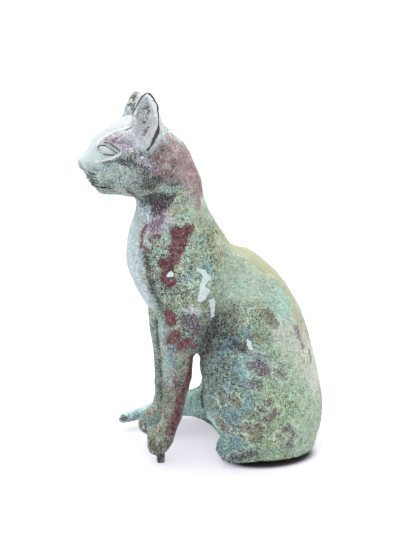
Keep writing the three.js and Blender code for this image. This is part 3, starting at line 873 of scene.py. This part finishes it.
# %% Keep the depths on the skin
kept_numbers = {
    "cuprite": cuprite,
    "chips": chips,
    "mauve": mauve,
    "stain_and_shade": stain_and_shade,
    "blue": blue,
    "islands": islands,
    "russet": russet,
    "milk": milk,
    "lilac": lilac,
    "band": band,
    "rough": np.maximum(roughness, broken),
    "groove_shade": groove_shade,
    "rims": rims,
    "crease": crease,
    "crest_highlight": crest_highlight,
    "haunch_crest_highlight": haunch_crest_highlight,
    "underside_shade": underside_shade,
}
for name, values in kept_numbers.items():
    kept = cat.data.attributes.new(name, "FLOAT", "POINT")
    kept.data.foreach_set("value", np.maximum(values, FAR_OUTSIDE).astype(np.float32))
kept_tone = cat.data.attributes.new("tone", "FLOAT_COLOR", "POINT")
kept_tone.data.foreach_set("color", np.c_[tone, np.ones(len(tone))].astype(np.float32).ravel())
print("kept on the skin:", len(cat.data.attributes), "attributes")

# %% [markdown]
# ## Shader sums
# A material is a net of nodes. Written as Python expressions it stays readable: this small class
# wraps one output, and adding, subtracting or multiplying such outputs adds the Math nodes.


# %% A wire between nodes
class Wire:
    """One output of a node in the material that is being made."""

    tree = None

    def __init__(self, socket):
        self.socket = socket

    @classmethod
    def node(cls, kind, sockets, settings=(), output=0):
        """Adds a node, makes its settings, then fills or links its sockets."""
        made = cls.tree.nodes.new("ShaderNode" + kind)
        for name, value in dict(settings).items():
            setattr(made, name, value)
        for name, value in sockets.items():
            if isinstance(value, Wire):
                cls.tree.links.new(value.socket, made.inputs[name])
            else:
                made.inputs[name].default_value = value
        return cls(made.outputs[output])

    @classmethod
    def math(cls, operation, first, second=0.0):
        return cls.node("Math", {0: first, 1: second}, {"operation": operation})

    def __add__(self, other):
        return Wire.math("ADD", self, other)

    __radd__ = __add__

    def __sub__(self, other):
        return Wire.math("SUBTRACT", self, other)

    def __rsub__(self, other):
        return Wire.math("SUBTRACT", other, self)

    def __mul__(self, other):
        return Wire.math("MULTIPLY", self, other)

    __rmul__ = __mul__

    def __abs__(self):
        return Wire.math("ABSOLUTE", self)

    def edge(self, low, high):
        """0 below low, 1 above high, and smooth between."""
        return Wire.node(
            "MapRange",
            {"Value": self, "From Min": low, "From Max": high},
            {"interpolation_type": "SMOOTHSTEP"},
        )


def over(below, above, share):
    """One colour laid over another, by this share."""
    return Wire.node("Mix", {0: share, 6: below, 7: above}, {"data_type": "RGBA"}, output=2)


def brighter(colour, factor):
    """A colour times a number."""
    start = colour if isinstance(colour, Wire) else colour[:3]
    return Wire.node("VectorMath", {0: start, "Scale": factor}, {"operation": "SCALE"})


def solid(shown):
    """A tone from the picture as a colour socket's value."""
    return (*pigment(shown), 1)


# %% [markdown]
# ## The patina's noises
# Burial left grains, lumps and threads of many sizes. The material starts with noises of named sizes
# in mm. They read Object coordinates, so they lie in the bronze and don't slide over it. The same
# noises fray the patches, speckle the crust and make its bump, so colour and relief agree.

# %% Start the material and its noises
FINE_SIZE = 0.5
GRAIN_SIZE = 0.48
MIDDLE_SIZE = 1.4
BROAD_SIZE = 5
MIDDLE_FRAY = 3.2
FINE_FRAY = 2.4
SMOOTH_ON_BAND = 0.7

bronze = bpy.data.materials.new("corroded_bronze")
bronze.use_nodes = True
Wire.tree = bronze.node_tree
surface = bronze.node_tree.nodes["Principled BSDF"]
place = Wire.node("TexCoord", {}, output=3)


def lumps(size_mm, detail=2, harshness=0.6):
    """Noise around 0.5 with lumps of this size."""
    return Wire.node("TexNoise", {
        "Vector": place, "Scale": 1 / (size_mm * MM), "Detail": detail, "Roughness": harshness,
    })


def fleck(size_mm, low, high):
    """1 in scattered flecks of this size and 0 between them."""
    return lumps(size_mm, detail=3, harshness=0.65).edge(low, high)


def grains(size_mm):
    """A random number for each grain of this size."""
    cell = Wire.node("TexVoronoi", {"Vector": place, "Scale": 1 / (size_mm * MM)}, output=1)
    return Wire.node("SeparateColor", {0: cell})


def mark(name, output=2):
    """A number kept on the skin."""
    return Wire.node("Attribute", {}, {"attribute_name": name}, output=output)


fine = lumps(FINE_SIZE)
middle = lumps(MIDDLE_SIZE, detail=3)
broad = lumps(BROAD_SIZE, detail=3)
grain = grains(GRAIN_SIZE)
fray = (middle - 0.5) * MIDDLE_FRAY + (fine - 0.5) * FINE_FRAY
rough = mark("rough") * (1 - mark("band").edge(-0.2, 0.4) * SMOOTH_ON_BAND)
print("noises:", len(bronze.node_tree.nodes), "nodes")

# %% [markdown]
# ## Painting the ground
# The layers are laid as a painter would, from below. First comes the ground tone. Where the crust is
# rough, clouds make it warmer and cooler, and a few flecks make it redder.

# %% Cloud the ground tone
WARM = (1.11, 1.03, 0.8)
COOL = (0.84, 1.02, 1.04)
REDDER = (1.06, 0.86, 0.9)
CLOUD_SIZE = 6
RED_FLECK_SIZE = 4.5
RED_FLECK_SHARE = 0.4


def tinted(colour, factors):
    """A colour with its red, green and blue times three factors."""
    return Wire.node("VectorMath", {0: colour, 1: factors}, {"operation": "MULTIPLY"})


ground = mark("tone", output=0)
clouds = lumps(CLOUD_SIZE, detail=3).edge(0.36, 0.64)
clouded = over(tinted(ground, WARM), tinted(ground, COOL), clouds)
colour = over(ground, clouded, rough.edge(0.35, 0.85))
reddened = fleck(RED_FLECK_SIZE, 0.54, 0.64) * rough * RED_FLECK_SHARE
colour = over(colour, tinted(colour, REDDER), reddened)
print("ground:", len(bronze.node_tree.nodes), "nodes")

# %% [markdown]
# ## The soft patches
# The chest has a milky bloom, the spine a smooth bright band, the nape red earth, and the temple a
# pale lilac. Brown islands lie on the haunch, each inside a pale rim. A patch is cut out of the depth
# kept on the skin, and its edge is frayed by the noises or trembles a little. Each patch has three
# numbers: how much its paint covers, how far its edge frays, and how soft that edge is.

# %% Cut the patches out of the kept depths
PATCHES = {
    "milk": (0.6, 0.8, 0.3),
    "russet": (0.66, 0.8, 0.25),
    "lilac": (0.7, 1.6, 0.5),
    "islands": (0.85, 1.2, 0.2),
    "blue": (0.76, 2.6, 0.45),
    "mauve": (0.76, 1.8, 0.3),
    "stain_and_shade": (0.88, 1.8, 0.6),
    "cuprite": (0.96, 1.1, 0.12),
    "chips": (1, 0.5, 0.08),
}


def frayed(name):
    """The depth in the named patch, with a frayed edge."""
    cover, fraying, softness = PATCHES[name]
    return mark(name) + fray * fraying


def patch(name):
    """1 inside the named patch and 0 outside."""
    cover, fraying, softness = PATCHES[name]
    return frayed(name).edge(-softness, softness)


def covering(name):
    """The named patch, by how much its paint covers."""
    cover, fraying, softness = PATCHES[name]
    return patch(name) * cover


def drawn(name, tremble, low, high):
    """1 on the named line or band and 0 beside it, with a trembling edge."""
    return (mark(name) + (fine - 0.5) * tremble).edge(low, high)


def two_tone(dark, pale, share):
    """A paint that changes between two tones."""
    return over(solid(dark), solid(pale), share)


# %% Lay the soft patches
MILK_PAINT = (206, 226, 230)
BAND_PAINT = (190, 193, 160)
BAND_EDGE_PAINT = (214, 224, 206)
RED_EARTH = (132, 92, 94), (204, 178, 178)
PALE_LILAC = (164, 148, 168), (212, 204, 218)
TURQUOISE_PAINT = (150, 194, 186)
ISLAND_PAINT = (122, 120, 96)
ISLAND_RIM_PAINT = (196, 220, 202)
BAND_TREMBLE = 0.8
BAND_COVER, BAND_EDGE_COVER = 0.85, 0.6
RED_EARTH_SIZE = 4
TURQUOISE_SIZE = 5
TURQUOISE_COVER = 0.5
ISLAND_RIM_COVER = 0.6

colour = over(colour, solid(MILK_PAINT), covering("milk"))
bright_band = drawn("band", BAND_TREMBLE, -0.1, 0.1)
colour = over(colour, solid(BAND_PAINT), bright_band * BAND_COVER)
band_edge = drawn("band", BAND_TREMBLE, -0.7, -0.2) - bright_band
colour = over(colour, solid(BAND_EDGE_PAINT), band_edge * BAND_EDGE_COVER)

red_earth_lumps = lumps(RED_EARTH_SIZE, detail=4, harshness=0.65)
red_earth = two_tone(*RED_EARTH, red_earth_lumps.edge(0.36, 0.64))
colour = over(colour, red_earth, covering("russet"))
pale_lilac = two_tone(*PALE_LILAC, middle.edge(0.36, 0.6))
colour = over(colour, pale_lilac, covering("lilac"))
turquoise = fleck(TURQUOISE_SIZE, 0.54, 0.62) * middle.edge(0.4, 0.6)
colour = over(colour, solid(TURQUOISE_PAINT), turquoise * rough * TURQUOISE_COVER)

island_rim = frayed("islands").edge(-1.2, -0.5) - patch("islands")
colour = over(colour, solid(ISLAND_RIM_PAINT), island_rim * ISLAND_RIM_COVER)
colour = over(colour, solid(ISLAND_PAINT), covering("islands"))
print("soft patches:", len(bronze.node_tree.nodes), "nodes")

# %% [markdown]
# ## The speckled crust
# Close up the crust is a crowd of dark pits and pale crystals under a millimetre wide, with pale
# threads and veins between them. All of them grow with the crust's roughness, so the smooth brow
# and the spine's band stay calm. The pits gather in clusters, which keeps the crust from looking
# like evenly spotted stone.

# %% Speckle the crust
PALE_CRUST_PAINT = (228, 238, 230)
MEAN_SHADE = 1.04
BROAD_SHADE = 0.5
MIDDLE_SHADE = 0.44
GRAIN_SHADE = 1.35
LEAST_GRAIN_SHADE = 0.06
PIT_SHADE = 0.6
CRYSTAL_SIZE = 0.62
PIT_SIZE = 0.65
PIT_CLUSTER_SIZE = 4
THREAD_SIZE = 2.2
VEIN_SIZE = 5.5
LEAST_CROWD, CLUSTER_CROWD = 0.45, 0.9
CRYSTAL_SHARE, THREAD_SHARE, VEIN_SHARE = 0.9, 0.8, 0.4
PALE_CRUST_GAIN = 1.6
PALE_CRUST_COVER = 0.4


def ridges(size_mm, detail):
    """1 where the noise passes through its middle, so along wandering lines."""
    return 1 - abs(lumps(size_mm, detail) - 0.5) * 2


bright_spots = lumps(CRYSTAL_SIZE).edge(0.53, 0.6)
pits = lumps(PIT_SIZE).edge(0.53, 0.6)
threads = ridges(THREAD_SIZE, detail=3).edge(0.9, 0.98)
veins = ridges(VEIN_SIZE, detail=4).edge(0.93, 0.99)
crowded = LEAST_CROWD + fleck(PIT_CLUSTER_SIZE, 0.4, 0.6) * CLUSTER_CROWD
clustered_pits = pits * crowded

broad_swing = (broad.edge(0.34, 0.66) - 0.5) * rough * BROAD_SHADE
middle_swing = (middle.edge(0.36, 0.64) - 0.5) * rough * MIDDLE_SHADE
grain_swing = (grain - 0.5) * (rough * rough * GRAIN_SHADE + LEAST_GRAIN_SHADE)
shade = MEAN_SHADE + broad_swing + middle_swing + grain_swing
colour = brighter(colour, shade - clustered_pits * rough * PIT_SHADE)
pale = bright_spots * CRYSTAL_SHARE + threads * THREAD_SHARE + veins * VEIN_SHARE
pale_crust = over(brighter(colour, PALE_CRUST_GAIN), solid(PALE_CRUST_PAINT), PALE_CRUST_COVER)
colour = over(colour, pale_crust, (pale * rough).edge(0, 1))
print("speckled crust:", len(bronze.node_tree.nodes), "nodes")

# %% [markdown]
# ## Blooms, stains and painted shade
# Blue blooms lie on the haunch and the shoulder, and beside them mauve and nearly black stains. The
# same dark paint is painted shade in the folds, under the jaw and between the legs. Each is a dark
# and a pale tone in small lumps, with the pale crystals sprinkled over it.

# %% Lay the blooms, the stains and the painted shade
BLUE_BLOOM = (74, 108, 128), (148, 194, 202)
PLUM = (46, 32, 52), (150, 84, 118)
PLUM_SPECK_PAINT = (206, 200, 214)
SOOT_AND_SHADE = (30, 31, 38), (82, 92, 90)
DARK_PATCH_RED_PAINT = (84, 46, 62)
DARK_PATCH_SPECK_PAINT = (168, 182, 178)
LEAST_BLOOM_SHADE, BLOOM_SPECK_GAIN = 0.8, 0.7
PLUM_FLECK_SIZE = 1
PLUM_SPECK_COVER = 0.7
DARK_PATCH_RED_SIZE = 5
DARK_PATCH_RED_COVER = 0.55
DARK_PATCH_SPECK_COVER = 0.6

bloom = two_tone(*BLUE_BLOOM, middle.edge(0.42, 0.58))
bloom = brighter(bloom, LEAST_BLOOM_SHADE + bright_spots * BLOOM_SPECK_GAIN)
colour = over(colour, bloom, covering("blue"))
plum = two_tone(*PLUM, fleck(PLUM_FLECK_SIZE, 0.47, 0.6))
plum = over(plum, solid(PLUM_SPECK_PAINT), bright_spots * PLUM_SPECK_COVER)
colour = over(colour, plum, covering("mauve"))
# Dark paint for the black stains and for the painted shade in the hollows.
soot_and_shade = two_tone(*SOOT_AND_SHADE, middle.edge(0.42, 0.62))
dark_patch_red = lumps(DARK_PATCH_RED_SIZE, detail=3).edge(0.46, 0.56)
soot_and_shade = over(soot_and_shade, solid(DARK_PATCH_RED_PAINT), dark_patch_red * DARK_PATCH_RED_COVER)
soot_and_shade = over(soot_and_shade, solid(DARK_PATCH_SPECK_PAINT), bright_spots * DARK_PATCH_SPECK_COVER)
colour = over(colour, soot_and_shade, covering("stain_and_shade"))
print("blooms and stains:", len(bronze.node_tree.nodes), "nodes")

# %% [markdown]
# ## Bare cuprite and white chips
# Where a flake has come away, the red-brown cuprite below is smoother and shinier, with a few pale
# crumbs left on it. The white chips are the opposite: the crust broke there down to a clean, matt
# white, and the thin dark edge round each chip is painted shade at the step down into it.

# %% Bare the cuprite and chip the crust
CUPRITE_PAINTS = (84, 33, 42), (142, 88, 95)
CRUMB_PAINT = (196, 198, 188)
CHIP_PAINT = (234, 252, 250)
CHIP_EDGE_SHADE_PAINT = (84, 96, 98)
LEAST_CUPRITE_SHADE, CUPRITE_GRAIN_SHADE = 0.7, 0.4
CRUMB_SIZE = 0.9
CRUMB_COVER = 0.7
CHIP_EDGE_SHADE_COVER = 0.55
MEAN_CHIP_SHADE, CHIP_SHADE = 1.1, 0.5

bare = patch("cuprite")
cuprite_colour = two_tone(*CUPRITE_PAINTS, middle.edge(0.38, 0.62))
cuprite_colour = brighter(cuprite_colour, LEAST_CUPRITE_SHADE + grain * CUPRITE_GRAIN_SHADE)
colour = over(colour, cuprite_colour, covering("cuprite"))
crumbs = lumps(CRUMB_SIZE, harshness=0.5).edge(0.62, 0.68)
colour = over(colour, solid(CRUMB_PAINT), bare * crumbs * CRUMB_COVER)

# Painted shade: a thin dark edge round each chip, at the step down into it.
chip_edge_shade = frayed("chips").edge(-0.5, -0.1)
colour = over(colour, solid(CHIP_EDGE_SHADE_PAINT), chip_edge_shade * CHIP_EDGE_SHADE_COVER)
chip_colour = brighter(solid(CHIP_PAINT), MEAN_CHIP_SHADE + (middle - 0.5) * CHIP_SHADE)
colour = over(colour, chip_colour, covering("chips"))
print("cuprite and chips:", len(bronze.node_tree.nodes), "nodes")

# %% [markdown]
# ## Painted highlights on the crests, and painted shade
# The crests get a painted highlight, nearly white, and the carved lines and creases get painted
# shade. The ears' rims show the dark red metal, and the flat underside gets painted shade in dark
# brown. These come last, because they are sharp.

# %% Draw the crests, the lines and the rims
CREST_HIGHLIGHT_PAINT = (255, 255, 255)
HAUNCH_CREST_HIGHLIGHT_PAINT = (224, 238, 234)
GROOVE_SHADE_PAINT = (56, 60, 66)
RIM_PAINT = (58, 28, 32)
UNDERSIDE_SHADE_PAINT = (58, 52, 48)
UNDERSIDE_SHADE_COVER = 0.92
CREASE_SHADE = 0.4

# Painted highlights along the crests.
colour = over(colour, solid(CREST_HIGHLIGHT_PAINT), drawn("crest_highlight", 0.3, -0.1, 0.25) * 0.95)
colour = over(colour, solid(HAUNCH_CREST_HIGHLIGHT_PAINT), drawn("haunch_crest_highlight", 1.6, -0.15, 0.3) * 0.85)
# Painted shade in the carved lines.
colour = over(colour, solid(GROOVE_SHADE_PAINT), drawn("groove_shade", 0.25, -0.14, 0.08) * 0.9)
# Painted shade in the creases of the toes, the haunch's fold, the ear's nick and the hind foot.
creased = brighter(colour, CREASE_SHADE)
colour = over(colour, creased, drawn("crease", 0.9, -0.35, 0.25) * 0.8)
colour = over(colour, solid(RIM_PAINT), drawn("rims", 0.3, -0.1, 0.06) * 0.92)
# Painted shade, dark brown, on the faces turned down near the ground.
colour = over(colour, solid(UNDERSIDE_SHADE_PAINT), mark("underside_shade") * UNDERSIDE_SHADE_COVER)
Wire.tree.links.new(colour.socket, surface.inputs["Base Color"])
print("lines:", len(bronze.node_tree.nodes), "nodes")

# %% Set the gloss and the bump
CRUST_ROUGHNESS = 0.82
CUPRITE_GLOSS = 0.28
FINE_GLOSS = 0.2
SPECULAR = 0.35
FINE_BUMP, MIDDLE_BUMP = 0.5, 0.6
THREAD_BUMP, CRYSTAL_BUMP, PIT_BUMP = 0.1, 0.06, 0.2
LEAST_BUMP, ROUGH_BUMP = 0.15, 0.85
CUPRITE_SMOOTHNESS, CUPRITE_DROP = 0.6, 0.05

gloss = CRUST_ROUGHNESS - bare * CUPRITE_GLOSS + (fine - 0.5) * FINE_GLOSS
Wire.tree.links.new(gloss.socket, surface.inputs["Roughness"])
surface.inputs["Specular IOR Level"].default_value = SPECULAR

lumpy = (fine - 0.5) * FINE_BUMP + (middle - 0.5) * MIDDLE_BUMP
raised = lumpy + threads * THREAD_BUMP + bright_spots * CRYSTAL_BUMP
crust_height = (raised - clustered_pits * PIT_BUMP) * (rough * ROUGH_BUMP + LEAST_BUMP)
height = crust_height * (1 - bare * CUPRITE_SMOOTHNESS) - bare * CUPRITE_DROP
relief_normal = Wire.node("Bump", {"Height": height, "Distance": MM, "Strength": 1.0})
Wire.tree.links.new(relief_normal.socket, surface.inputs["Normal"])
cat.data.materials.append(bronze)
print("patina:", len(bronze.node_tree.nodes), "nodes")

# %% [markdown]
# ## Floor and light
# The photograph is high-key: white all round, brightest from above and behind, softer on the side
# of the camera. The world is white and darkens towards the camera's side, and two broad suns light
# the whole floor evenly. The paper glows a little, so its shadows stay as light as in the
# photograph. The figure stands on its tangs, with a gap below the rump, and a painted shadow stands
# for the shade in that gap: in an oval on the near side of the rump the paper is dark and neither
# glows nor shines.

# %% Lay the floor
FLOOR_SIZE = 20
# The painted shadow's oval on the paper: its centre and squeeze, in mm.
RUMP_CENTRE = Vector((18, 23, 0))
RUMP_SQUEEZE = Vector((1 / 11, 1 / 18, 0))
PAINTED_SHADOW_PAPER = (0.12, 0.12, 0.12, 1)
OPEN_PAPER = (0.45, 0.45, 0.47, 1)
NO_GLOW = (0, 0, 0, 1)
PAPER_GLOW = (0.5, 0.49, 0.54, 1)

bpy.ops.mesh.primitive_plane_add(size=FLOOR_SIZE, location=(0, 0, 0))
floor = bpy.context.object
floor.name = "floor"

paper = bpy.data.materials.new("white_paper")
paper.use_nodes = True
paper_surface = paper.node_tree.nodes["Principled BSDF"]
Wire.tree = paper.node_tree
spot = Wire.node("TexCoord", {}, output=3)
offset = Wire.node("VectorMath", {0: spot, 1: RUMP_CENTRE * MM}, {"operation": "SUBTRACT"})
squeezed = Wire.node("VectorMath", {0: offset, 1: RUMP_SQUEEZE / MM}, {"operation": "MULTIPLY"})
from_centre = Wire.node("VectorMath", {0: squeezed}, {"operation": "LENGTH"}, output=1)
# Painted shadow: dark paper without glow inside the oval, open paper outside.
open_floor = from_centre.edge(0.86, 1.16)
paper_colour = over(PAINTED_SHADOW_PAPER, OPEN_PAPER, open_floor)
glowing = over(NO_GLOW, PAPER_GLOW, open_floor)
Wire.tree.links.new(paper_colour.socket, paper_surface.inputs["Base Color"])
Wire.tree.links.new(glowing.socket, paper_surface.inputs["Emission Color"])
paper_surface.inputs["Emission Strength"].default_value = 1
paper_surface.inputs["Roughness"].default_value = 1
paper_surface.inputs["Specular IOR Level"].default_value = 0
floor.data.materials.append(paper)
print("floor:", FLOOR_SIZE, "m wide")

# %% Light the studio
WORLD_AT_THE_HORIZON = 0.3
WORLD_RISE = 1.4
WORLD_SLOPE = 0.3


def soft_sun(name, strength, angle, towards):
    """A broad sun that shines from one direction."""
    bpy.ops.object.light_add(type="SUN")
    sun = bpy.context.object
    sun.name = name
    sun.data.energy = strength
    sun.data.angle = math.radians(angle)
    sun.rotation_euler = Vector(towards).to_track_quat("Z", "Y").to_euler()


soft_sun("sun_above", strength=1.5, angle=110, towards=(-0.2, -0.45, 1))
soft_sun("sun_behind", strength=0.7, angle=80, towards=(-0.5, 0.8, 0.9))

world = bpy.data.worlds.new("studio")
world.use_nodes = True
Wire.tree = world.node_tree
background = world.node_tree.nodes["Background"]
towards_sky = Wire.node("TexCoord", {}, output=0)
away = Wire.node(
    "VectorMath", {0: towards_sky, 1: -towards_camera}, {"operation": "DOT_PRODUCT"}, output=1
)
upwards = Wire.node("SeparateXYZ", {0: towards_sky}, output=2)
glow = away * WORLD_SLOPE + upwards * WORLD_RISE + WORLD_AT_THE_HORIZON
Wire.tree.links.new(glow.socket, background.inputs["Strength"])
background.inputs["Color"].default_value = (1, 1, 1, 1)
bpy.context.scene.world = world
bpy.context.scene.view_settings.view_transform = "Standard"
print("world:", len(world.node_tree.nodes), "nodes")

# %% Hand the piece over
only(cat)
bpy.ops.object.shade_smooth()
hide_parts("cat")
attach(cat, "root")
